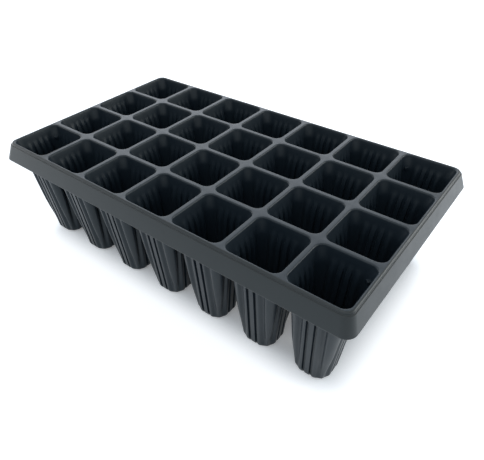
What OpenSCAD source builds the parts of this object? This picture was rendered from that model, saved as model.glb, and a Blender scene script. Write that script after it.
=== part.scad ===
// Plug tray with four rows of seven tapered cell pots.
// The deck, the skirt round it and every pot are drawn as separate pieces that meet face to face.
// Origin: centre of the footprint, on the level that the pots stand on. X runs along the long side.

/* [Cells] */
// Distance from one cell centre to the next, both ways
cell_pitch = 73; // [60:0.5:90]
// Overall height, from the pots' feet to the deck's upper face
tray_height = 143; // [100:1:180]
// Width of a web between two cells at its crown
web_crown = 3; // [2:0.5:6]
// How much a cell narrows on each side through the thickness of the deck
mouth_slope = 2.35; // [1:0.05:4]
// Radius of a cell's corners at the underside of the deck
mouth_corner = 9; // [6:0.5:14]

/* [Deck] */
// Thickness of the deck
deck_thickness = 3; // [2:0.5:5]
// Deck beyond the last pitch line at the short ends
end_margin = 0.75; // [0.5:0.25:8]
// Deck beyond the last pitch line along the long sides
side_margin = 0.75; // [0.5:0.25:8]
// Radius of the deck's four outer corners
deck_corner = 10.5; // [8:0.5:20]

/* [Skirt] */
// Depth of the skirt below the deck's upper face
skirt_depth = 23; // [16:0.5:36]
// Width of the ledge round the deck
ledge = 1.75; // [1:0.25:4]
// How far the skirt flares out from the ledge to its lower edge
skirt_flare = 7; // [4:0.25:10]
// Wall thickness of the skirt
skirt_wall = 1.8; // [1.2:0.1:3]
// How far the skirt's flange reaches in under the deck
flange_reach = 2; // [1:0.25:2.5]

/* [Pots] */
// Wall thickness of a pot
pot_wall = 1.2; // [1:0.1:2]
// Thickness of a pot's floor
pot_floor = 1.8; // [1.2:0.1:4]
// Depth of the plain collar above the flutes, measured from the deck's upper face
collar_depth = 18; // [12:1:26]
// Distance from the pitch line in to the flank at the foot of the collar
collar_inset = 5.5; // [4.25:0.05:8]
// Distance from the pitch line in to where the flank would reach the level of the feet
foot_inset = 14.7; // [12:0.05:18]
// Radius between flank and floor
foot_round = 7; // [4:0.5:10]
// Share of a pot's half width taken up by its corner radius
corner_share = 0.42; // [0.36:0.02:0.6]
// The same share at the level of the feet, where the corners are rounder
foot_share = 0.66; // [0.42:0.02:0.7]
// Height up to which the corners change from the rounder ones to the plain ones
foot_blend = 60; // [30:5:70]
// Diameter of the drain hole
drain_d = 12; // [6:0.5:16]

/* [Flutes] */
// Distance of a flute's centre line from the middle of its face
flute_offset = 4.6; // [4.6:0.1:6]
// Width of a flute at the surface
flute_width = 2.6; // [2:0.1:3]
// Depth of a flute
flute_depth = 2.6; // [1.5:0.1:3]
// Distance of a valley's centre line from the middle of its face
valley_offset = 13.8; // [12.5:0.1:15]
// Width of a valley at the surface
valley_width = 8.4; // [5:0.1:9]
// Depth of a valley
valley_depth = 2.4; // [0.5:0.1:2.6]

/* [Stacking stops] */
// Depth of the stops' upper faces below the deck's upper face
stop_drop = 13; // [8:0.5:18]
// Width of a stop
stop_width = 5; // [3:0.5:8]
// Height of a stop
stop_height = 5; // [3:0.5:8]
// How far a stop stands out of the corner
stop_reach = 3; // [1.5:0.5:5]

/* [Hidden] */
$fn = 96;
columns = 7;
rows = 4;
corner_steps = 5;
deck_x = columns * cell_pitch / 2 + end_margin;
deck_y = rows * cell_pitch / 2 + side_margin;
deck_under = tray_height - deck_thickness;
skirt_low = tray_height - skirt_depth;
collar_low = tray_height - collar_depth;
collar_half = cell_pitch / 2 - collar_inset;
foot_half = cell_pitch / 2 - foot_inset;
mouth_top_half = (cell_pitch - web_crown) / 2;
mouth_half = mouth_top_half - mouth_slope;
pot_top_half = mouth_half + pot_wall;
flank_angle = atan((collar_half - foot_half) / collar_low);
flute_lean = 0.5;
section_rise = 1;
valley_floor = 0.6;
black = [0.10, 0.105, 0.115];
pot_black = [0.12, 0.125, 0.13];

// A length rounded to a thousandth, so that round and straight stretches meet exactly.
function exact(v) = round(v * 1000) / 1000;

// A block with rounded vertical corners whose radius follows a profile.
// x and y place the corner centres; profile lists radius and height from the bottom up.
module pad(x, y, profile) {
    cx = exact(x);
    cy = exact(y);
    edge = [for (one = profile) [exact(one[0]), exact(one[1])]];
    last = len(edge) - 1;
    for (sx = [-1, 1], sy = [-1, 1])
        translate([sx * cx, sy * cy, 0])
            rotate_extrude()
                polygon(concat([[0, edge[0][1]]], edge, [[0, edge[last][1]]]));
    rotate([90, 0, 0])
        translate([0, 0, -cy])
            linear_extrude(2 * cy)
                band(cx, edge);
    rotate([90, 0, 90])
        translate([0, 0, -cx])
            linear_extrude(2 * cx)
                band(cy, edge);
}

// Section through the middle of a pad: the profile on both sides of a core of half width c.
module band(c, profile) {
    last = len(profile) - 1;
    polygon(concat(
        [for (i = [0 : last]) [c + profile[i][0], profile[i][1]]],
        [for (i = [last : -1 : 0]) [-c - profile[i][0], profile[i][1]]]
    ));
}

// One cell's opening through the deck, narrowing downwards.
module mouth() {
    core = mouth_half - mouth_corner;
    over = mouth_slope / deck_thickness;
    pad(core, core, [
        [mouth_corner - over, deck_under - 1],
        [mouth_corner + mouth_slope + over, tray_height + 1]
    ]);
}

// The deck: a flat lattice with one opening per cell.
module deck() {
    color(black)
        difference() {
            pad(deck_x - deck_corner, deck_y - deck_corner, [
                [deck_corner, deck_under],
                [deck_corner, tray_height - 1],
                [deck_corner - 1, tray_height]
            ]);
            for (c = [0 : columns - 1], r = [0 : rows - 1])
                at_cell(c, r)
                    mouth();
        }
}

// The skirt: a flange under the deck's edge and a wall that flares down and out.
module skirt() {
    cx = deck_x - deck_corner;
    cy = deck_y - deck_corner;
    top = deck_corner + ledge;
    slope = skirt_flare / (deck_under - skirt_low);
    flange_low = deck_under - skirt_wall;
    color(black)
        difference() {
            pad(cx, cy, [
                [top + skirt_flare, skirt_low],
                [top + 0.6 * slope, deck_under - 0.6],
                [top - 0.6, deck_under]
            ]);
            pad(cx, cy, [
                [top + skirt_flare - skirt_wall + slope, skirt_low - 1],
                [top + slope * skirt_wall - skirt_wall, flange_low],
                [deck_corner - flange_reach, flange_low + 0.01],
                [deck_corner - flange_reach, deck_under + 1]
            ]);
        }
}

// Corner points of a rounded square at height z, with half width w and corner radius r.
function ring(w, r, z) = [
    for (q = [0 : 3], k = [0 : corner_steps])
        let (turn = 90 * q, a = turn + 90 * k / corner_steps)
            [
                (w - r) * (cos(turn) - sin(turn)) + r * cos(a),
                (w - r) * (sin(turn) + cos(turn)) + r * sin(a),
                z
            ]
];

// A closed solid through a list of rings, from the lowest to the highest.
module stack(rings) {
    n = len(rings[0]);
    last = len(rings) - 1;
    sides = [
        for (i = [0 : last - 1], j = [0 : n - 1])
            let (a = i * n + j, b = i * n + (j + 1) % n)
                each [[a, a + n, b + n], [a, b + n, b]]
    ];
    polyhedron(
        points = [for (one = rings) each one],
        faces = concat(
            [[for (j = [0 : n - 1]) j]],
            sides,
            [[for (j = [n - 1 : -1 : 0]) last * n + j]]
        )
    );
}

// Half width of a pot's flank at height z, drawn in by the thickness t.
function flank(z, t) = foot_half - t + (collar_half - foot_half) * z / collar_low;

// Share of the half width that the corner radius takes up at height z.
function share(z) = foot_share + (corner_share - foot_share) * min(z / foot_blend, 1);

// Rings of a pot's foot, whose floor lies at height low, drawn in by t.
function foot_rings(t, low) = [
    for (a = [0, 30, 60, 90])
        let (
            bend = foot_round - t,
            z = low + bend * (1 - cos(a)),
            w = flank(z, t) - bend * (1 - sin(a))
        )
            ring(w, w * share(z), z)
];

// Rings of a pot's flank and collar, drawn in by t.
function flank_rings(t) = [
    ring(flank(foot_blend, t), flank(foot_blend, t) * corner_share, foot_blend),
    ring(flank(collar_low, t), flank(collar_low, t) * corner_share, collar_low),
    ring(pot_top_half - t, mouth_corner + pot_wall - t, deck_under)
];

// Ring that carries the inside of a pot on above its rim, to cut it open.
function open_ring() = [ring(mouth_half, mouth_corner, deck_under + 1)];

// Section of a groove that is w wide at the surface and d deep, with sides that lean in by lean.
// It is moved in by g, and its sides run on above the surface.
module groove(w, d, lean, g) {
    low = -d - g;
    high = section_rise;
    over = lean * (high + g) / d;
    polygon([
        [-w / 2 - over, high],
        [-w / 2 + lean, low],
        [w / 2 - lean, low],
        [w / 2 + over, high]
    ]);
}

// Sections of the flutes and valleys of one face, moved in by g and widened for the inside.
module flute_section(g) {
    for (s = [-1, 1]) {
        translate([s * flute_offset, 0])
            groove(flute_width + 2 * g, flute_depth, flute_lean, g);
        translate([s * valley_offset, 0])
            groove(valley_width, valley_depth, valley_width / 2 - valley_floor / 2, g);
    }
}

// The flutes and valleys of all four faces, leaning with the flanks and ending under the collar.
module flutes(g) {
    for (a = [0, 90, 180, 270])
        rotate([0, 0, a])
            translate([0, -foot_half, 0])
                rotate([flank_angle, 0, 0])
                    translate([0, 0, -2])
                        linear_extrude(collar_low - 2)
                            mirror([0, 1])
                                flute_section(g);
}

// Two stops across the corners of a pot, on the diagonal that runs along d.
module stops(d) {
    high = tray_height - stop_drop;
    seat = (collar_half - collar_half * corner_share) * sqrt(2) + collar_half * corner_share - pot_wall;
    for (a = [0, 180])
        rotate([0, 0, 45 * d + a])
            translate([seat - stop_reach, -stop_width / 2, high - stop_height])
                cube([stop_reach + 2.6, stop_width, stop_height]);
}

// One pot, closed below but for its drain hole.
// stop_side is 0 for a plain pot, 1 or -1 for a pot with stops on that diagonal.
module pot(stop_side) {
    color(pot_black) {
        difference() {
            stack(concat(foot_rings(0, 0), flank_rings(0)));
            flutes(0);
            difference() {
                stack(concat(foot_rings(pot_wall, pot_floor), flank_rings(pot_wall), open_ring()));
                flutes(pot_wall);
                if (stop_side != 0)
                    stops(stop_side);
            }
            translate([0, 0, -1])
                cylinder(d = drain_d, h = pot_floor + 2);
        }
    }
}

// Puts a cell's children at its place; column and row count from the corner at low X and low Y.
module at_cell(column, row) {
    translate([
        (column - (columns - 1) / 2) * cell_pitch,
        (row - (rows - 1) / 2) * cell_pitch,
        0
    ])
        children();
}

// The pot of one cell. The four corner cells carry the stacking stops.
module cell_pot(column, row) {
    at_end = column == 0 || column == columns - 1;
    at_side = row == 0 || row == rows - 1;
    diagonal = (column == 0) == (row == 0) ? -1 : 1;
    at_cell(column, row)
        pot(at_end && at_side ? diagonal : 0);
}

module pot_a1() { cell_pot(0, 0); }
module pot_a2() { cell_pot(1, 0); }
module pot_a3() { cell_pot(2, 0); }
module pot_a4() { cell_pot(3, 0); }
module pot_a5() { cell_pot(4, 0); }
module pot_a6() { cell_pot(5, 0); }
module pot_a7() { cell_pot(6, 0); }
module pot_b1() { cell_pot(0, 1); }
module pot_b2() { cell_pot(1, 1); }
module pot_b3() { cell_pot(2, 1); }
module pot_b4() { cell_pot(3, 1); }
module pot_b5() { cell_pot(4, 1); }
module pot_b6() { cell_pot(5, 1); }
module pot_b7() { cell_pot(6, 1); }
module pot_c1() { cell_pot(0, 2); }
module pot_c2() { cell_pot(1, 2); }
module pot_c3() { cell_pot(2, 2); }
module pot_c4() { cell_pot(3, 2); }
module pot_c5() { cell_pot(4, 2); }
module pot_c6() { cell_pot(5, 2); }
module pot_c7() { cell_pot(6, 2); }
module pot_d1() { cell_pot(0, 3); }
module pot_d2() { cell_pot(1, 3); }
module pot_d3() { cell_pot(2, 3); }
module pot_d4() { cell_pot(3, 3); }
module pot_d5() { cell_pot(4, 3); }
module pot_d6() { cell_pot(5, 3); }
module pot_d7() { cell_pot(6, 3); }

deck();
skirt();
pot_a1();
pot_a2();
pot_a3();
pot_a4();
pot_a5();
pot_a6();
pot_a7();
pot_b1();
pot_b2();
pot_b3();
pot_b4();
pot_b5();
pot_b6();
pot_b7();
pot_c1();
pot_c2();
pot_c3();
pot_c4();
pot_c5();
pot_c6();
pot_c7();
pot_d1();
pot_d2();
pot_d3();
pot_d4();
pot_d5();
pot_d6();
pot_d7();
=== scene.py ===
"""Studio picture of a rigid plug tray: four rows of seven fluted pots hanging from a flat deck.

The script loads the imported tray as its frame, draws each cell, the rim and the stacking stops as fine
surfaces in the same place, gives them a satin moulded finish, and sets the floor, the light and the camera.
Lengths inside the surface classes are millimetres; meshes are written in metres.
"""

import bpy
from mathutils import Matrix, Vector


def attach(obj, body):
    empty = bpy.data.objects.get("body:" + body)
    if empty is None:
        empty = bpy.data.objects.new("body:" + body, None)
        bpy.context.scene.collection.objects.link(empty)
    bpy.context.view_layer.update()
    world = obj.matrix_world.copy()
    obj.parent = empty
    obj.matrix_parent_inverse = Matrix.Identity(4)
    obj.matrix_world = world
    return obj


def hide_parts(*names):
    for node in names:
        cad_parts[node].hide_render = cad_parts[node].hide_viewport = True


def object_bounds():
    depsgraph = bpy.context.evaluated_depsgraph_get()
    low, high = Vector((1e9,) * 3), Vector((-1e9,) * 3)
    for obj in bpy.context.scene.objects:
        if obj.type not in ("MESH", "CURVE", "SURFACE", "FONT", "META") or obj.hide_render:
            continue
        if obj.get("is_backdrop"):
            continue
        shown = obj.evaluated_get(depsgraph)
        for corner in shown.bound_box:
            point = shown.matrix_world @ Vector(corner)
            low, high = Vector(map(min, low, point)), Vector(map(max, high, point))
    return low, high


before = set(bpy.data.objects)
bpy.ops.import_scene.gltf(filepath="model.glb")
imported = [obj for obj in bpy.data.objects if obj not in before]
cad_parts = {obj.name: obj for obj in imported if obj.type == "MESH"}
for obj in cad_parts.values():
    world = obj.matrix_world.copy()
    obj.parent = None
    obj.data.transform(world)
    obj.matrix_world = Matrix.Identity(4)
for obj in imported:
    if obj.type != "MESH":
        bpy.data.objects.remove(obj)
CAD_LOW, CAD_HIGH = (tuple(corner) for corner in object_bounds())

import logging
from collections.abc import Callable
from dataclasses import dataclass, field
from enum import Enum

import bpy
import numpy as np
from mathutils import Vector

logging.basicConfig(level=logging.INFO, format="%(levelname)s %(message)s")
LOG = logging.getLogger("plug_tray")

MM = 0.001  # metres in a millimetre
BOX_TOLERANCE = 0.0005  # metres
TINY = 1e-9  # settles a sign at 0, and keeps a division away from 0
NOISE_RANGE = (0.3, 0.7)  # where most values of a noise texture lie
ROOT = "root"
ROW_LETTERS = "abcd"


class Slot(Enum):
    """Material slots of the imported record."""

    TRAY = "tray_plastic"
    POT = "pot_plastic"


class Winding(Enum):
    """Which way the faces of a loft turn, so that they look outwards."""

    ALONG = 1
    AGAINST = -1


@dataclass(frozen=True)
class TrayPlan:
    """Sizes of the tray in millimetres, with the names that the solid model uses.

    Attributes:
        pitch: distance between neighbouring cell centres, both ways.
        columns: cells along the long side.
        rows: cells along the short side.
        height: from the feet to the deck's upper face.
        deck_thickness: thickness of the deck.
        end_margin: deck beyond the last pitch line at the short ends.
        side_margin: deck beyond the last pitch line along the long sides.
        deck_corner: radius of the deck's outer corners.
        skirt_depth: depth of the skirt below the deck's upper face.
        ledge: width of the ledge round the deck.
        skirt_flare: how far the skirt leans out from the ledge to its lower edge.
        skirt_wall: wall thickness of the skirt.
        edge_round: radius of the deck's upper edge.
    """

    pitch: float = 73.0
    columns: int = 7
    rows: int = 4
    height: float = 143.0
    deck_thickness: float = 3.0
    end_margin: float = 0.75
    side_margin: float = 0.75
    deck_corner: float = 10.5
    skirt_depth: float = 23.0
    ledge: float = 1.75
    skirt_flare: float = 7.0
    skirt_wall: float = 1.8
    edge_round: float = 2.2

    @property
    def deck_half(self) -> np.ndarray:
        """Half length and half width of the deck."""
        return np.array([
            self.columns * self.pitch / 2 + self.end_margin,
            self.rows * self.pitch / 2 + self.side_margin,
        ])

    @property
    def corner_centre(self) -> np.ndarray:
        """Centre of the deck's corner radius at high X and high Y."""
        return self.deck_half - self.deck_corner

    @property
    def under(self) -> float:
        """Height of the deck's underside."""
        return self.height - self.deck_thickness

    def cell_centre(self, column: int, row: int) -> np.ndarray:
        """Centre of a cell in plan.

        Args:
            column: column from the low X end.
            row: row from the low Y side.

        Returns:
            The centre's X and Y.
        """
        return np.array([
            (column - (self.columns - 1) / 2) * self.pitch,
            (row - (self.rows - 1) / 2) * self.pitch,
        ])

    def check(self) -> None:
        """Stops the script when the plan doesn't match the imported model's outer box.

        Raises:
            ValueError: the two differ.
        """
        reach = self.deck_half + self.ledge + self.skirt_flare
        wanted = np.array([reach[0], reach[1], self.height]) * MM
        if np.abs(wanted - np.array(CAD_HIGH)).max() > BOX_TOLERANCE:
            raise ValueError(f"plan {wanted} does not match the model's box {CAD_HIGH}")


@dataclass(frozen=True)
class PotPlan:
    """Sizes of one pot in millimetres.

    Attributes:
        wall: wall thickness.
        floor: floor thickness.
        collar_depth: depth of the collar's foot below the deck's upper face.
        collar_half: half width at the collar's foot.
        ease: height over which the collar's flare sets in.
        foot_half: half width that the flank reaches at the level of the feet.
        foot_round: radius between flank and floor.
        core_share: share of the half width that lies inside the corner centres, on the upper flank.
        foot_share: the same share at the level of the feet, where the corners are rounder.
        core_rise: height at which the share has changed to that of the upper flank.
        mouth_core: distance from the cell's middle to the mouth's corner centres.
        mouth_half: half width of the mouth at the deck's underside.
        crown_half: half width of the mouth where the lip runs out into the flat web.
        drain_radius: radius of the drain hole.
        drain_edge: bevel of the drain hole's edges.
    """

    wall: float = 1.2
    floor: float = 1.8
    collar_depth: float = 18.0
    collar_half: float = 31.0
    ease: float = 5.0
    foot_half: float = 21.8
    foot_round: float = 7.0
    core_share: float = 0.58
    foot_share: float = 0.30
    core_rise: float = 60.0
    mouth_core: float = 23.65
    mouth_half: float = 32.65
    crown_half: float = 34.7
    drain_radius: float = 6.0
    drain_edge: float = 0.35


def smooth_step(value: np.ndarray, start: float, end: float) -> np.ndarray:
    """Smooth ramp from 0 at start to 1 at end.

    Args:
        value: the values to ramp.
        start: value with result 0.
        end: value with result 1.

    Returns:
        The ramp's values.
    """
    t = np.clip((value - start) / (end - start), 0.0, 1.0)
    return t * t * (3 - 2 * t)


def at_height(points: np.ndarray, z: np.ndarray) -> np.ndarray:
    """Adds heights to plan points.

    Args:
        points: array of shape (rings, points, 2).
        z: height of each ring.

    Returns:
        An array of shape (rings, points, 3).
    """
    heights = np.broadcast_to(np.asarray(z, float)[:, None, None], (*points.shape[:2], 1))
    return np.concatenate([points, heights], axis=2)


@dataclass(frozen=True)
class Furrow:
    """A lengthwise hollow pressed into a pot's face, in millimetres.

    Attributes:
        offset: distance of its centre line from the middle of the face.
        half_width: half its width at the surface.
        blend: width of the rounded shoulder on each side.
        depth: its depth.
        growth: share of the wall's thickness by which each side of its image on the inside is wider.
    """

    offset: float
    half_width: float
    blend: float
    depth: float
    growth: float = 1.0

    def profile(self, along: np.ndarray, drawn_in: float) -> np.ndarray:
        """Depth of the hollow across a face.

        The depth is full in the middle and falls to nothing over the shoulder, as a smooth step.

        Args:
            along: distance from the middle of the face.
            drawn_in: distance inside the outer surface, 0 or the wall thickness.

        Returns:
            The depth at each distance.
        """
        miss = np.abs(np.abs(along) - self.offset)
        return self.depth * smooth_step(self.half_width + self.growth * drawn_in - miss, 0.0, self.blend)


@dataclass
class Loft:
    """A closed surface through rings of points, written as one mesh of quads.

    Attributes:
        name: name of the piece.
        rings: array of shape (rings, points, 3) in millimetres.
        winding: which way the faces turn.
        capped: whether flat caps close the first and last rings, instead of a join between the two. The
            caps need an even number of points in a ring.
    """

    name: str
    rings: np.ndarray
    winding: Winding = Winding.ALONG
    capped: bool = False

    def faces(self) -> np.ndarray:
        """Corner indices of every quad.

        Returns:
            An array of shape (quads, 4).
        """
        count, points = self.rings.shape[:2]
        k = np.arange(count - 1 if self.capped else count)[:, None]
        n = np.arange(points)[None, :]
        k2, n2 = (k + 1) % count, (n + 1) % points
        quads = np.stack(np.broadcast_arrays(
            k * points + n, k * points + n2, k2 * points + n2, k2 * points + n), -1)
        quads = quads.reshape(-1, 4)
        if self.capped:
            i = np.arange(points // 2 - 1)
            cap = np.stack([i, i + 1, points - 2 - i, points - 1 - i], 1)
            quads = np.concatenate([quads, cap[:, ::-1], cap + (count - 1) * points])
        return quads if self.winding is Winding.ALONG else quads[:, ::-1]

    def build(self, sharp_degrees: float = 38.0) -> bpy.types.Object:
        """Writes the mesh and its object.

        Args:
            sharp_degrees: edges that bend more than this stay crisp.

        Returns:
            The new object, at the origin.
        """
        quads = self.faces()
        points = self.rings.reshape(-1, 3) * MM
        mesh = bpy.data.meshes.new(self.name)
        mesh.vertices.add(len(points))
        mesh.vertices.foreach_set("co", points.ravel())
        mesh.loops.add(quads.size)
        mesh.loops.foreach_set("vertex_index", quads.ravel())
        mesh.polygons.add(len(quads))
        mesh.polygons.foreach_set("loop_start", np.arange(0, quads.size, 4))
        mesh.update(calc_edges=True)
        mesh.validate()
        mesh.shade_smooth()
        mesh.set_sharp_from_angle(angle=np.radians(sharp_degrees))
        thing = bpy.data.objects.new(self.name, mesh)
        bpy.context.scene.collection.objects.link(thing)
        LOG.info("%s: %d quads", self.name, len(quads))
        return thing


@dataclass
class Stations:
    """Places round a rounded square where every ring of a pot has a point.

    Attributes:
        fixed: distances from the middle of a face, in millimetres, that stay the same on every ring. They
            lie close together on the flutes' shoulders.
        shares: places between the last fixed distance and the corner's diagonal, from 0 to 1.
    """

    fixed: np.ndarray = field(default_factory=lambda: np.array([
        0.7, 1.4, 1.95, 2.3, 2.65, 3.05, 3.35, 3.65, 4.15, 4.95, 5.45, 5.75, 6.05, 6.45,
        6.8, 7.15, 7.9, 9.0, 10.2, 11.4, 12.6, 13.8, 15.0, 16.2]))
    shares: np.ndarray = field(default_factory=lambda: np.linspace(0, 1, 7)[1:])

    def ring(self, half: np.ndarray, core: np.ndarray,
             inset: Callable[[np.ndarray], np.ndarray]) -> np.ndarray:
        """Points of rounded squares, one row for each half width.

        A point on the straight part lies at the half width; past the corner centre it lies on an arc of
        radius half minus core. Each point is then moved inwards along its normal by the inset.

        Args:
            half: half widths, one per ring.
            core: distances from the middle to the corner centres, one per ring.
            inset: function of the distance along the face that gives the move inwards.

        Returns:
            An array of shape (rings, points, 2), in order round the square.
        """
        half, core = np.asarray(half, float)[:, None], np.asarray(core, float)[:, None]
        radius = half - core
        diagonal = core + radius / np.sqrt(2)
        last = self.fixed[-1]
        out = np.concatenate([
            np.broadcast_to(self.fixed, (len(half), len(self.fixed))),
            last + self.shares * (diagonal - last)], axis=1)
        along = np.concatenate([-out[:, -2::-1], np.zeros((len(half), 1)), out], axis=1)
        turn = np.arcsin(np.clip((np.abs(along) - core) / radius, 0.0, 1.0))
        depth = inset(along)
        away = np.where(np.abs(along) > core, core + radius * np.cos(turn), half)
        x = away - depth * np.cos(turn)
        y = along - depth * np.sin(turn) * np.sign(along)
        sides = [(x, y), (-y, x), (-x, -y), (y, -x)]
        return np.concatenate([np.stack(side, -1) for side in sides], axis=1)


@dataclass
class CellShell:
    """One cell: its share of the deck, the lip, and the pot with its inside, floor and outside.

    Attributes:
        plan: the tray's sizes.
        pot: the pot's sizes.
        column: column from the low X end.
        row: row from the low Y side.
        flute: the narrow pair of hollows near the middle of each face.
        valley: the wide pair of hollows near the corners.
        stations: where the rings have their points.
        fade: depths below the deck's face where the hollows are at their full depth and where they end.
        flute_foot: heights between which the flutes come in above the foot. The lower one is below the
            floor, so that a trace of them reaches it.
        valley_foot: the same for the valleys.
        lip_depth: depth below the deck's face where the lip turns into the collar.
        lip_pull: lengths of the handles of the lip's curve, at the web and at the collar.
        inner_depths: depths of the rings between the lip and the hollows, on the inside.
        outer_depths: depths of the rings between the hollows and the fillet, on the outside.
        fade_rings: depths of the first and last ring where the hollows fade, and the number of rings.
        flank_rings: height of the lowest ring above the foot, depth of the highest, and their number.
        fillet: size of the fillet where the outside meets the deck's underside.
    """

    plan: TrayPlan
    pot: PotPlan
    column: int
    row: int
    flute: Furrow = Furrow(offset=4.55, half_width=1.85, blend=0.75, depth=3.0)
    valley: Furrow = Furrow(offset=13.8, half_width=4.8, blend=4.4, depth=3.6, growth=0.5)
    stations: Stations = field(default_factory=Stations)
    fade: tuple[float, float] = (30.0, 8.0)
    flute_foot: tuple[float, float] = (-1.0, 8.0)
    valley_foot: tuple[float, float] = (-6.0, 26.0)
    lip_depth: float = 1.6
    lip_pull: tuple[float, float] = (0.9, 0.8)
    inner_depths: tuple[float, ...] = (3.0, 4.7, 6.5)
    outer_depths: tuple[float, ...] = (6.5, 5.0)
    fade_rings: tuple[float, float, int] = (8.5, 28.5, 13)
    flank_rings: tuple[float, float, int] = (3.0, 36.0, 8)
    fillet: float = 0.9

    @property
    def name(self) -> str:
        """Name of the CAD pot that this cell stands for."""
        return f"pot_{ROW_LETTERS[self.row]}{self.column + 1}"

    def outer_half(self, z: np.ndarray) -> np.ndarray:
        """Half width of the pot's outside at a height, before the foot's rounding.

        Up to the collar's foot it grows evenly. Above that a second slope flares it to the mouth, which
        sets in as a squared term over the ease.

        Args:
            z: heights.

        Returns:
            The half widths.
        """
        pot, top = self.pot, self.plan.height - self.pot.collar_depth
        slope = (pot.collar_half - pot.foot_half) / top
        rise = np.clip(z - top, 0.0, None)
        span = self.plan.under - top
        flare = (pot.mouth_half + pot.wall - pot.collar_half - slope * span) / (span - pot.ease / 2)
        eased = np.where(rise < pot.ease, rise**2 / (2 * pot.ease), rise - pot.ease / 2)
        return pot.foot_half + slope * z + flare * eased

    def core(self, z: np.ndarray) -> np.ndarray:
        """Distance of the corner centres from the pot's axis at a height.

        Args:
            z: heights.

        Returns:
            The distances: a share of the half width on the flank, then an even change to the mouth's.
        """
        pot, top = self.pot, self.plan.height - self.pot.collar_depth
        share = pot.foot_share + (pot.core_share - pot.foot_share) * smooth_step(z, 0.0, pot.core_rise)
        low = share * self.outer_half(np.minimum(z, top))
        t = np.clip((z - top) / (self.plan.under - top), 0.0, 1.0)
        return low + (pot.mouth_core - low) * t

    def inset(self, z: np.ndarray, drawn_in: float) -> Callable[[np.ndarray], np.ndarray]:
        """Depth of the hollows over a stack of rings.

        Args:
            z: height of each ring.
            drawn_in: distance inside the outer surface, 0 or the wall thickness.

        Returns:
            A function of the distances along a face, one row per ring.
        """
        full, gone = (self.plan.height - depth for depth in self.fade)
        fade = (1.0 - smooth_step(z, full, gone))[:, None]
        flute_in = smooth_step(z, *self.flute_foot)[:, None]
        valley_in = smooth_step(z, *self.valley_foot)[:, None]
        return lambda along: fade * np.maximum(
            flute_in * self.flute.profile(along, drawn_in),
            valley_in * self.valley.profile(along, drawn_in))

    def flank(self, z: np.ndarray, drawn_in: float) -> np.ndarray:
        """Rings of the flank and collar.

        Args:
            z: heights of the rings.
            drawn_in: distance inside the outer surface. Below 0 it widens the rings.

        Returns:
            An array of shape (rings, points, 3).
        """
        points = self.stations.ring(self.outer_half(z) - drawn_in, self.core(z), self.inset(z, drawn_in))
        return at_height(points, z)

    def foot(self, drawn_in: float, floor: float, steps: int = 9) -> np.ndarray:
        """Rings of the foot's rounding, from its top down to the floor.

        Each ring is the flank's ring at that height, scaled towards the axis so that its half width
        follows a quarter circle.

        Args:
            drawn_in: distance inside the outer surface.
            floor: height of the floor's surface.
            steps: number of rings.

        Returns:
            An array of shape (rings, points, 3).
        """
        bend = self.pot.foot_round - drawn_in
        angle = np.linspace(np.pi / 2, 0, steps)
        z = floor + bend * (1 - np.cos(angle))
        full = self.outer_half(z) - drawn_in
        points = self.stations.ring(full, self.core(z), self.inset(z, drawn_in))
        scale = (full - bend * (1 - np.sin(angle))) / full
        return at_height(points * scale[:, None, None], z)

    def lip(self, steps: int = 9) -> np.ndarray:
        """Rings of the rounded lip, from the flat web down into the mouth.

        The section is a cubic curve that leaves the web level and meets the collar along its slope, which
        is taken over one millimetre of height.

        Args:
            steps: number of rings.

        Returns:
            An array of shape (rings, points, 3).
        """
        top, start = self.plan.height, self.plan.height - self.lip_depth
        below, above = self.outer_half(np.array([start - 0.5, start + 0.5]))
        low = np.array([(below + above) / 2 - self.pot.wall, start])
        high = np.array([self.pot.crown_half, top])
        web_pull, collar_pull = self.lip_pull
        ends = np.array([
            high, high - [web_pull, 0.0], low + [collar_pull * (above - below), collar_pull], low])
        t = np.linspace(0, 1, steps)[:-1, None]
        curve = ((1 - t)**3 * ends[0] + 3 * t * (1 - t)**2 * ends[1]
                 + 3 * t**2 * (1 - t) * ends[2] + t**3 * ends[3])
        half, z = curve[:, 0], curve[:, 1]
        points = self.stations.ring(half, self.core(z), np.zeros_like)
        return at_height(points, z)

    def tile(self, z: float) -> np.ndarray:
        """Outline of the cell's share of the deck, with one point for each station.

        Inner edges lie on the pitch lines. Outer edges lie where the deck's edge starts to round over,
        and the corner cells follow the deck's corner.

        Args:
            z: height of the outline.

        Returns:
            An array of shape (1, points, 3).
        """
        half = self.plan.pitch / 2
        centre = self.plan.cell_centre(self.column, self.row)
        reach = self.plan.deck_half - self.plan.edge_round
        low = np.where([self.column == 0, self.row == 0], -reach - centre, -half)
        high = np.where(
            [self.column == self.plan.columns - 1, self.row == self.plan.rows - 1], reach - centre, half)
        mouth = self.stations.ring(
            np.array([self.pot.crown_half]), np.array([self.pot.mouth_core]), np.zeros_like)[0]
        diagonal = self.pot.mouth_core + (self.pot.crown_half - self.pot.mouth_core) / np.sqrt(2)
        along_x = np.abs(mouth[:, :1]) >= np.abs(mouth[:, 1:])
        unit = np.where(
            along_x,
            np.concatenate([np.sign(mouth[:, :1]), mouth[:, 1:] / diagonal], axis=1),
            np.concatenate([mouth[:, :1] / diagonal, np.sign(mouth[:, 1:])], axis=1))
        flat = np.where(unit > 0, unit * high, -unit * low)
        world = flat + centre
        arc_centre = self.plan.corner_centre * np.sign(centre + TINY)
        past = (world - arc_centre) * np.sign(arc_centre)
        radius = self.plan.deck_corner - self.plan.edge_round
        length = np.linalg.norm(past, axis=1, keepdims=True)
        rounded = arc_centre + (world - arc_centre) * radius / np.maximum(length, TINY)
        on_corner = (past > 0).all(axis=1, keepdims=True) & (length > radius)
        return at_height(np.where(on_corner, rounded, world)[None] - centre, np.array([z]))

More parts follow.
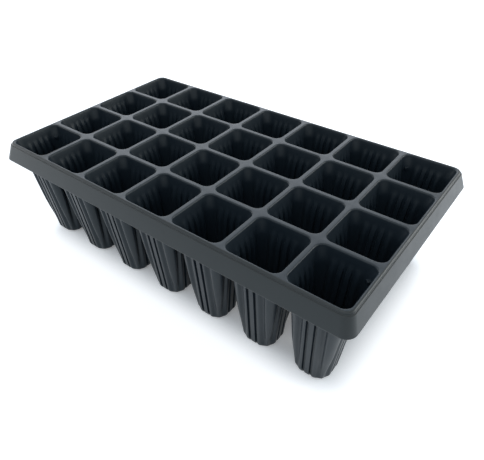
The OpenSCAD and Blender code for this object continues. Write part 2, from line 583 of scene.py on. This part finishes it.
    def drain(self, ring: np.ndarray) -> np.ndarray:
        """Rings of the floor and the drain hole, from the inside to the underside.

        Args:
            ring: the innermost ring of the inside, whose directions the circle keeps.

        Returns:
            An array of shape (rings, points, 3).
        """
        direction = ring[:, :2] / np.linalg.norm(ring[:, :2], axis=1, keepdims=True)
        bore, edge = self.pot.drain_radius, self.pot.drain_edge
        radii = np.array([bore + edge, bore, bore, bore + edge])
        z = np.array([self.pot.floor, self.pot.floor - edge, edge, 0.0])
        return at_height(direction[None] * radii[:, None, None], z)

    def rings(self) -> np.ndarray:
        """Every ring of the cell, from the deck's face down the inside and back up the outside.

        Returns:
            An array of shape (rings, points, 3).
        """
        top, under = self.plan.height, self.plan.under
        first, last, count = self.fade_rings
        fading = np.linspace(top - first, top - last, count)
        lowest, highest, count = self.flank_rings
        flank = np.linspace(self.pot.foot_round + lowest, top - highest, count)
        inner_z = np.concatenate([
            top - np.array([self.lip_depth, *self.inner_depths]), fading, flank[::-1]])
        outer_z = np.concatenate([flank, fading[::-1], top - np.array(self.outer_depths)])
        inside = self.flank(inner_z, self.pot.wall)
        inner_foot = self.foot(self.pot.wall, self.pot.floor)
        outer_foot = self.foot(0.0, 0.0)[::-1]
        outside = self.flank(outer_z, 0.0)
        drain = self.drain(inner_foot[-1])
        neck = self.flank(np.array([under - self.fillet]), 0.0)
        root = self.flank(np.array([under]), -self.fillet)
        stack = np.concatenate([
            self.tile(top), self.lip(), inside, inner_foot, drain, outer_foot, outside, neck, root,
            self.tile(under)])
        centre = self.plan.cell_centre(self.column, self.row)
        return stack + np.array([centre[0], centre[1], 0.0])

    def build(self) -> bpy.types.Object:
        """Builds the cell in place of its CAD pot.

        Returns:
            The new object.
        """
        thing = Loft(self.name.replace("pot", "cell"), self.rings()).build()
        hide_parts(self.name)
        return thing


@dataclass
class Rim:
    """The deck's rounded edge, the ledge under it and the flared skirt, as one sweep round the tray.

    Attributes:
        plan: the tray's sizes.
        corner_pull: how much smaller the corner radius is at the skirt's lower edge than the even offset
            of the deck's corner.
        arc_steps: points on each rounded corner.
        side_steps: points along each straight side.
        round_steps: points of the section on the deck's rounded edge, and on the fillet.
        shoulder_steps: points of the section on the ledge's outer edge.
        bead_steps: points of the section on the skirt's lower edge.
        fillet: radius of the fillet above the ledge, and of the ledge's outer edge.
        lean: angle in radians at which the ledge's rounded edge runs out into the skirt.
        slack: how far the skirt's inner face stands out from the ledge's, at the top.
        overlap: how far the rim reaches in under the deck's edge.
        tuck: how far the closing faces lie inside the deck.
        sunk: depth of the last point below the deck's face.
    """

    plan: TrayPlan
    corner_pull: float = 6.5
    arc_steps: int = 24
    side_steps: int = 12
    round_steps: int = 6
    shoulder_steps: int = 5
    bead_steps: int = 7
    fillet: float = 0.7
    lean: float = 0.22
    slack: float = 0.4
    overlap: float = 3.0
    tuck: float = 0.6
    sunk: float = 0.03

    def section(self) -> np.ndarray:
        """Section of the rim as distance from the corner centre and height.

        It starts on the deck's face, rounds over the edge, steps down to the ledge, follows the flared
        skirt to its beaded lower edge, returns up the inside and ends just under the deck's face.

        Returns:
            An array of shape (points, 2).
        """
        plan, r, wall = self.plan, self.plan.deck_corner, self.plan.skirt_wall
        top, under, low = plan.height, plan.under, plan.height - plan.skirt_depth
        ledge = r + plan.ledge
        quarter = np.linspace(0, np.pi / 2, self.round_steps)
        rounding, fillet = plan.edge_round, self.fillet
        edge = np.stack([r - rounding * (1 - np.sin(quarter)), top - rounding * (1 - np.cos(quarter))], 1)
        step = np.stack([r + fillet * (1 - np.cos(quarter)), under + fillet * (1 - np.sin(quarter))], 1)
        turn = np.linspace(np.pi / 2, self.lean, self.shoulder_steps)
        shoulder = np.array([ledge - fillet, under - fillet]) + fillet * np.stack(
            [np.cos(turn), np.sin(turn)], 1)
        bead = np.linspace(0, np.pi, self.bead_steps)
        lower = np.array([ledge + plan.skirt_flare - wall / 2, low + wall / 2]) + wall / 2 * np.stack(
            [np.cos(bead), -np.sin(bead)], 1)
        inside = np.array([
            [ledge - wall + self.slack, under - wall], [r - self.overlap, under - wall],
            [r - self.overlap, under + self.tuck], [r - rounding - self.tuck, top - self.sunk]])
        return np.concatenate([edge, step, shoulder, lower, inside])

    def rings(self) -> np.ndarray:
        """One ring round the tray for each point of the section.

        The further out a ring lies, the more its corner radius stays behind the even offset, up to the
        corner pull. The corners' centres move outwards by as much, so the sides stay where they are.

        Returns:
            An array of shape (section points, points round the tray, 3).
        """
        section = self.section()
        centre = self.plan.corner_centre
        outwards = (section[:, 0] - self.plan.deck_corner) / (self.plan.ledge + self.plan.skirt_flare)
        pull = self.corner_pull * np.clip(outwards, 0.0, 1.0)[:, None, None]
        radius = section[:, None, :1] - pull
        arc = np.linspace(0, np.pi / 2, self.arc_steps)
        signs = np.array([[1, 1], [-1, 1], [-1, -1], [1, -1]])
        corners = []
        for quarter, sign in enumerate(signs):
            angle = arc + quarter * np.pi / 2
            direction = np.stack([np.cos(angle), np.sin(angle)], 1)
            corners.append((centre * sign + pull * sign, direction))
        parts = []
        for index, (middle, direction) in enumerate(corners):
            parts.append(middle + radius * direction)
            after, next_direction = corners[(index + 1) % 4]
            t = np.linspace(0, 1, self.side_steps + 2)[1:-1, None]
            from_points = middle + radius * direction[-1]
            to_points = after + radius * next_direction[0]
            parts.append(from_points * (1 - t) + to_points * t)
        return at_height(np.concatenate(parts, axis=1), section[:, 1])

    def build(self) -> bpy.types.Object:
        """Builds the rim in place of the CAD deck and skirt.

        Returns:
            The new object.
        """
        thing = Loft("rim", self.rings(), Winding.AGAINST).build(sharp_degrees=30.0)
        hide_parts("deck", "skirt")
        return thing


def squared_off(value: np.ndarray, power: float) -> np.ndarray:
    """Raises sines or cosines to a small power and keeps their sign, which squares off their circle.

    Args:
        value: the sines or cosines.
        power: the power, 1 for a true circle and near 0 for a square.

    Returns:
        The powers.
    """
    return np.sign(value) * np.abs(value)**power


@dataclass
class StackingStop:
    """A small rounded block across one corner of a corner pot, where a tray stacked on top comes to rest.

    Attributes:
        plan: the tray's sizes.
        column: column of its pot.
        row: row of its pot.
        turn: direction of the pot's corner in degrees.
        width: width across the corner, in millimetres.
        height: height.
        inner: distance of the side that faces the pot's axis from that axis.
        outer: distance of the side in the wall from the axis.
        drop: depth of its upper side below the deck's face.
        power: power that shapes its rounded edges.
        pole: angle in radians that the rings leave for the flat cap at each end.
        tilt_steps: rings from the upper cap to the lower one.
        turn_steps: points in a ring.
    """

    plan: TrayPlan
    column: int
    row: int
    turn: float
    width: float = 5.0
    height: float = 4.0
    inner: float = 35.0
    outer: float = 39.6
    drop: float = 14.0
    power: float = 0.35
    pole: float = 0.02
    tilt_steps: int = 17
    turn_steps: int = 32

    def build(self) -> bpy.types.Object:
        """Builds the stop as a rounded block, from the sines and cosines of a sphere squared off.

        Returns:
            The new object.
        """
        tilt = np.linspace(self.pole, np.pi - self.pole, self.tilt_steps)[:, None]
        round_about = np.linspace(0, 2 * np.pi, self.turn_steps, endpoint=False)[None, :]
        waist = squared_off(np.sin(tilt), self.power)
        x = waist * squared_off(np.cos(round_about), self.power)
        y = waist * squared_off(np.sin(round_about), self.power)
        z = squared_off(np.cos(tilt), self.power) * np.ones_like(round_about)
        local = np.stack([
            (self.inner + self.outer) / 2 + x * (self.outer - self.inner) / 2,
            y * self.width / 2, z * self.height / 2], -1)
        a = np.radians(self.turn)
        spin = np.array([[np.cos(a), np.sin(a), 0], [-np.sin(a), np.cos(a), 0], [0, 0, 1]])
        centre = self.plan.cell_centre(self.column, self.row)
        place = np.array([centre[0], centre[1], self.plan.height - self.drop - self.height / 2])
        name = f"stop_{ROW_LETTERS[self.row]}{self.column + 1}_{int(self.turn) % 360}"
        return Loft(name, local @ spin + place, Winding.AGAINST, capped=True).build()


def add_node(tree: bpy.types.NodeTree, kind: str, inputs: dict[str, object]) -> bpy.types.Node:
    """Adds a node with values for some of its inputs.

    Args:
        tree: node tree of a material or of the world.
        kind: type of the node.
        inputs: values by the inputs' names.

    Returns:
        The node.
    """
    node = tree.nodes.new(kind)
    for name, value in inputs.items():
        node.inputs[name].default_value = value
    return node


@dataclass(frozen=True)
class Plastic:
    """Satin moulded plastic, all of it from node textures in object coordinates.

    Attributes:
        name: material name.
        shade: base colour.
        tint: second base colour that drifts in.
        smooth: lowest roughness.
        rough: highest roughness.
        sheen_level: strength of the surface reflection.
        sheen_tint: colour of the surface reflection.
        grain: height of the fine mould texture in metres.
        grain_strength: share of the fine texture that shows.
        drift_scale: scale of the noise between the two colours.
        wear_scale: scale of the noise between the two roughnesses.
        grain_scale: scale of the fine texture's noise.
    """

    name: str
    shade: tuple[float, float, float]
    tint: tuple[float, float, float]
    smooth: float
    rough: float
    sheen_level: float
    sheen_tint: tuple[float, float, float] = (0.94, 1.0, 0.99)
    grain: float = 0.00003
    grain_strength: float = 0.35
    drift_scale: float = 14.0
    wear_scale: float = 60.0
    grain_scale: float = 1400.0

    def build(self) -> bpy.types.Material:
        """Builds the node tree.

        Returns:
            The material.
        """
        material = bpy.data.materials.new(self.name)
        material.use_nodes = True
        tree = material.node_tree
        links = tree.links
        shader = tree.nodes["Principled BSDF"]
        place = tree.nodes.new("ShaderNodeTexCoord")

        drift = add_node(tree, "ShaderNodeTexNoise", {"Scale": self.drift_scale, "Detail": 4.0})
        wear = add_node(tree, "ShaderNodeTexNoise", {
            "Scale": self.wear_scale, "Detail": 6.0, "Roughness": 0.6})
        fine = add_node(tree, "ShaderNodeTexNoise", {"Scale": self.grain_scale, "Detail": 2.0})
        for noise in (drift, wear, fine):
            links.new(place.outputs["Object"], noise.inputs["Vector"])

        colour = tree.nodes.new("ShaderNodeMix")
        colour.data_type = "RGBA"
        colour.inputs["A"].default_value = (*self.shade, 1)
        colour.inputs["B"].default_value = (*self.tint, 1)
        links.new(drift.outputs["Fac"], colour.inputs["Factor"])
        links.new(colour.outputs["Result"], shader.inputs["Base Color"])

        least, most = NOISE_RANGE
        spread = add_node(tree, "ShaderNodeMapRange", {
            "From Min": least, "From Max": most, "To Min": self.smooth, "To Max": self.rough})
        links.new(wear.outputs["Fac"], spread.inputs["Value"])
        links.new(spread.outputs["Result"], shader.inputs["Roughness"])

        bump = add_node(tree, "ShaderNodeBump", {"Strength": self.grain_strength, "Distance": self.grain})
        links.new(fine.outputs["Fac"], bump.inputs["Height"])
        links.new(bump.outputs["Normal"], shader.inputs["Normal"])

        shader.inputs["Specular IOR Level"].default_value = self.sheen_level
        shader.inputs["Specular Tint"].default_value = (*self.sheen_tint, 1)
        shader.inputs["IOR"].default_value = 1.5
        return material


@dataclass
class Tray:
    """The whole tray.

    Attributes:
        plan: the tray's sizes.
        pot: the pots' sizes.
    """

    plan: TrayPlan = field(default_factory=TrayPlan)
    pot: PotPlan = field(default_factory=PotPlan)

    def finishes(self) -> dict[Slot, bpy.types.Material]:
        """Builds the finishes of the deck with its skirt and of the pots.

        Returns:
            The materials by slot.
        """
        tray = Plastic(
            "tray_satin", shade=(0.013, 0.018, 0.021), tint=(0.017, 0.022, 0.025),
            smooth=0.30, rough=0.38, sheen_level=0.45)
        pots = Plastic(
            "pot_satin", shade=(0.016, 0.024, 0.031), tint=(0.020, 0.029, 0.037),
            smooth=0.32, rough=0.40, sheen_level=0.30)
        return {Slot.TRAY: tray.build(), Slot.POT: pots.build()}

    def stops(self) -> list[StackingStop]:
        """Lists the two stops of each corner pot, on the diagonal that crosses the tray's own.

        Returns:
            The stops, not built yet.
        """
        found = []
        for column in (0, self.plan.columns - 1):
            for row in (0, self.plan.rows - 1):
                turn = -45.0 if (column == 0) == (row == 0) else 45.0
                found += [StackingStop(self.plan, column, row, turn + half) for half in (0.0, 180.0)]
        return found

    def build(self) -> None:
        """Builds every piece, and puts its finish and its body on it."""
        self.plan.check()
        finishes = self.finishes()
        cells = [CellShell(self.plan, self.pot, column, row).build()
                 for row in range(self.plan.rows) for column in range(self.plan.columns)]
        stops = [stop.build() for stop in self.stops()]
        rim = Rim(self.plan).build()
        for thing in cells + stops:
            self.finish(thing, Slot.POT, finishes)
        self.finish(rim, Slot.TRAY, finishes)
        for name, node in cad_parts.items():
            slot = Slot.POT if name.startswith("pot_") else Slot.TRAY
            node.data.materials.clear()
            node.data.materials.append(finishes[slot])

    def finish(self, thing: bpy.types.Object, slot: Slot,
               finishes: dict[Slot, bpy.types.Material]) -> None:
        """Gives a piece the material of its slot, and its body.

        Args:
            thing: the piece.
            slot: its material slot.
            finishes: the materials by slot.
        """
        thing.data.materials.append(finishes[slot])
        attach(thing, ROOT)


def looked_at(tree: bpy.types.NodeTree) -> bpy.types.NodeSocket:
    """Adds nodes that tell whether a surface is looked at, straight, in a reflection or through glass.

    Args:
        tree: node tree of a material or of the world.

    Returns:
        A socket with 1 for camera, glossy and transmission rays and 0 for the rays that light the scene.
    """
    path = tree.nodes.new("ShaderNodeLightPath")
    result = path.outputs["Is Camera Ray"]
    for kind in ("Is Glossy Ray", "Is Transmission Ray"):
        either = tree.nodes.new("ShaderNodeMath")
        either.operation = "MAXIMUM"
        tree.links.new(result, either.inputs[0])
        tree.links.new(path.outputs[kind], either.inputs[1])
        result = either.outputs["Value"]
    return result


@dataclass(frozen=True)
class Panel:
    """A soft rectangular light.

    Attributes:
        name: its name.
        place: where it hangs, in metres.
        size: its width and height in metres.
        power: its power in watts.
        colour: its colour.
    """

    name: str
    place: tuple[float, float, float]
    size: tuple[float, float]
    power: float
    colour: tuple[float, float, float] = (1.0, 1.0, 1.0)

    def build(self, aim: tuple[float, float, float]) -> None:
        """Hangs the light.

        Args:
            aim: the point that it is turned to, in metres.
        """
        light = bpy.data.lights.new(self.name, "AREA")
        light.shape = "RECTANGLE"
        light.size, light.size_y = self.size
        light.energy = self.power
        light.color = self.colour
        lamp = bpy.data.objects.new(self.name, light)
        bpy.context.scene.collection.objects.link(lamp)
        lamp.location = self.place
        lamp.rotation_euler = (Vector(aim) - Vector(self.place)).to_track_quat("-Z", "Y").to_euler()
        lamp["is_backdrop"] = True


PANELS = (
    Panel("back_panel", place=(-1.5, 2.0, 1.6), size=(3.0, 2.0), power=32.0, colour=(0.94, 1.0, 1.12)),
    Panel("left_panel", place=(-2.2, -0.6, 0.4), size=(1.0, 0.8), power=6.5),
    Panel("right_panel", place=(1.9, 1.4, 0.8), size=(1.8, 1.2), power=22.0, colour=(1.0, 0.99, 0.95)),
    Panel("top_panel", place=(0.2, -1.2, 2.4), size=(2.0, 2.0), power=9.0),
)


@dataclass
class Studio:
    """White floor, soft lights and the camera.

    Attributes:
        lens: focal length in millimetres.
        sensor: width of the camera's sensor in millimetres.
        place: the camera's place in metres.
        turn: the camera's XYZ turn in degrees.
        shift: sideways and upward shift of the picture.
        clip: nearest and farthest distance that the camera sees, in metres.
        floor_half: half the floor's width in metres.
        floor_colour: the floor's colour.
        floor_rough: its roughness.
        floor_sheen: strength of its surface reflection.
        footprint: half length and half width of the rectangle that the pots stand on, in metres.
        painted_shade_shift: how far the floor's painted shade is centred beyond the tray's middle along X,
            in metres.
        floor_glow_and_painted_shade: glow of the floor on that rectangle, kept low there as painted shade,
            and away from it.
        painted_shade_reach: distance over which the glow and its painted shade change, in metres.
        fill: strength of the even light from all round.
        fill_colour: its colour.
        aim: the point that the panels are turned to, in metres.
    """

    lens: float = 32.684
    sensor: float = 36.0
    place: tuple[float, float, float] = (0.32912, -0.39275, 0.42711)
    turn: tuple[float, float, float] = (45.620, 0.601, 37.624)
    shift: tuple[float, float] = (0.0095, 0.0935)
    clip: tuple[float, float] = (0.01, 50.0)
    floor_half: float = 12.0
    floor_colour: tuple[float, float, float] = (0.94, 0.94, 0.93)
    floor_rough: float = 0.9
    floor_sheen: float = 0.1
    # footprint, painted_shade_shift, floor_glow_and_painted_shade and painted_shade_reach shape the painted
    # shade on the floor round the pots
    footprint: tuple[float, float] = (0.222, 0.112)
    painted_shade_shift: float = 0.005
    floor_glow_and_painted_shade: tuple[float, float] = (0.19, 0.74)
    painted_shade_reach: float = 0.048
    fill: float = 0.42
    fill_colour: tuple[float, float, float] = (0.62, 0.80, 1.0)
    aim: tuple[float, float, float] = (0.0, 0.0, 0.12)

    def floor(self) -> None:
        """Builds the pale floor under the tray, with painted shade round the pots."""
        size = self.floor_half
        corners = [(-size, -size, 0.0), (size, -size, 0.0), (size, size, 0.0), (-size, size, 0.0)]
        mesh = bpy.data.meshes.new("floor")
        mesh.from_pydata(corners, [], [(0, 1, 2, 3)])
        floor = bpy.data.objects.new("floor", mesh)
        bpy.context.scene.collection.objects.link(floor)
        material = bpy.data.materials.new("floor_white")
        material.use_nodes = True
        tree = material.node_tree
        nodes, links = tree.nodes, tree.links
        shader = nodes["Principled BSDF"]
        shader.inputs["Base Color"].default_value = (*self.floor_colour, 1)
        shader.inputs["Roughness"].default_value = self.floor_rough
        shader.inputs["Specular IOR Level"].default_value = self.floor_sheen
        # the floor's glow, seen straight and in reflections, is kept low near the pots as painted shade
        glow = add_node(tree, "ShaderNodeEmission", {"Color": (1, 1, 1, 1)})
        lift = nodes.new("ShaderNodeMath")
        lift.operation = "MULTIPLY"
        both = nodes.new("ShaderNodeAddShader")
        links.new(looked_at(tree), lift.inputs[0])
        links.new(self.painted_floor_shade(tree), lift.inputs[1])
        links.new(lift.outputs["Value"], glow.inputs["Strength"])
        links.new(shader.outputs["BSDF"], both.inputs[0])
        links.new(glow.outputs["Emission"], both.inputs[1])
        links.new(both.outputs["Shader"], nodes["Material Output"].inputs["Surface"])
        mesh.materials.append(material)
        floor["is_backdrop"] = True

    def painted_floor_shade(self, tree: bpy.types.NodeTree) -> bpy.types.NodeSocket:
        """Adds nodes that paint shade on the floor near the pots and let it pale into white away from them.

        The distance is measured from the rectangle that the pots stand on.

        Args:
            tree: the floor's node tree.

        Returns:
            A socket with the floor's glow, low near the pots as painted shade.
        """
        nodes, links = tree.nodes, tree.links
        place = nodes.new("ShaderNodeTexCoord")
        steps = [("SUBTRACT", (self.painted_shade_shift, 0.0, 0.0)), ("ABSOLUTE", None),
                 ("SUBTRACT", (*self.footprint, 0.0)), ("MAXIMUM", (0.0, 0.0, 0.0))]
        result = place.outputs["Object"]
        for operation, value in steps:
            step = nodes.new("ShaderNodeVectorMath")
            step.operation = operation
            links.new(result, step.inputs[0])
            if value is not None:
                step.inputs[1].default_value = value
            result = step.outputs["Vector"]
        length = nodes.new("ShaderNodeVectorMath")
        length.operation = "LENGTH"
        links.new(result, length.inputs[0])
        # painted shade: the glow is low at the pots and rises to white over painted_shade_reach
        near, away = self.floor_glow_and_painted_shade
        ramp = add_node(tree, "ShaderNodeMapRange", {
            "From Max": self.painted_shade_reach, "To Min": near, "To Max": away})
        ramp.interpolation_type = "SMOOTHSTEP"
        links.new(length.outputs["Value"], ramp.inputs["Value"])
        return ramp.outputs["Result"]

    def world(self) -> None:
        """Lights the scene evenly from all round, and shows plain white behind it."""
        world = bpy.data.worlds.new("surround")
        bpy.context.scene.world = world
        world.use_nodes = True
        tree = world.node_tree
        nodes, links = tree.nodes, tree.links
        nodes.clear()
        output = nodes.new("ShaderNodeOutputWorld")
        mix = nodes.new("ShaderNodeMixShader")
        lit = add_node(tree, "ShaderNodeBackground", {
            "Color": (*self.fill_colour, 1), "Strength": self.fill})
        seen = add_node(tree, "ShaderNodeBackground", {"Color": (1, 1, 1, 1), "Strength": 1.0})
        links.new(looked_at(tree), mix.inputs["Fac"])
        links.new(lit.outputs["Background"], mix.inputs[1])
        links.new(seen.outputs["Background"], mix.inputs[2])
        links.new(mix.outputs["Shader"], output.inputs["Surface"])

    def camera(self) -> None:
        """Sets the camera that was fitted to the tray's outlines in the photo."""
        data = bpy.data.cameras.new("camera")
        data.sensor_width = self.sensor
        data.lens = self.lens
        data.shift_x, data.shift_y = self.shift
        data.clip_start, data.clip_end = self.clip
        camera = bpy.data.objects.new("camera", data)
        bpy.context.scene.collection.objects.link(camera)
        camera.location = self.place
        camera.rotation_euler = np.radians(self.turn)
        bpy.context.scene.camera = camera

    def build(self) -> None:
        """Builds the whole studio."""
        self.floor()
        self.world()
        for panel in PANELS:
            panel.build(self.aim)
        self.camera()
        bpy.context.scene.view_settings.view_transform = "Standard"


def main() -> None:
    """Builds the tray and its studio."""
    Tray().build()
    Studio().build()


if __name__ == "__main__":
    main()
